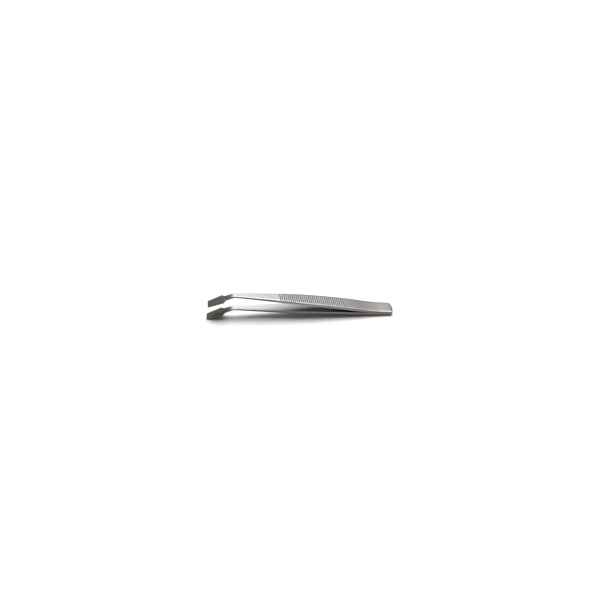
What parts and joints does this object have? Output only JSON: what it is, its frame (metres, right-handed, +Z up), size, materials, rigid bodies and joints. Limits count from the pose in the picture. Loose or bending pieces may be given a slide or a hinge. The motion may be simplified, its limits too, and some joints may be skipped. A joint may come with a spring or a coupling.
{
  "type": "angled spade tip tweezers",
  "caption": "Spring tweezers with flat spade-shaped tips bent downwards, cross-grooved grip panels and a spot-welded tail; squeezing the arms closes the tips.",
  "frame": {"origin": "centre of the bounding box's underside, on the surface the tweezers lie on", "axes": "+X towards the welded tail with the tips at -X, +Y across the arms, +Z up; the arms lie one above the other"},
  "size_m": [0.1052, 0.01, 0.014],
  "materials": {
    "upper_arm_steel": "satin brushed stainless steel, matte ground pad",
    "lower_arm_steel": "satin brushed stainless steel, matte ground pad",
    "weld_metal": "fused weld metal"
  },
  "bodies": {
    "tail": {"upper_arm_tail": "upper_arm_steel", "lower_arm_tail": "lower_arm_steel", "tail_spot_welds": "weld_metal"},
    "upper_arm": {"upper_arm_blade": "upper_arm_steel"},
    "lower_arm": {"lower_arm_blade": "lower_arm_steel"}
  },
  "joints": [
    {"name": "upper_arm_flex", "type": "hinge", "parent": "tail", "child": "upper_arm", "pos_m": [0.03213, 0, 0.00376], "axis": [0, -1, 0], "range_deg": [0, 2.34], "stiffness_Nm_per_rad": 3.5},
    {"name": "lower_arm_flex", "type": "hinge", "parent": "tail", "child": "lower_arm", "pos_m": [0.03204, 0, 0.00299], "axis": [0, 1, 0], "range_deg": [0, 2.34], "stiffness_Nm_per_rad": 3.5}
  ],
  "couplings": [
    {"joint": "lower_arm_flex", "follows": "upper_arm_flex", "ratio": 1}
  ]
}
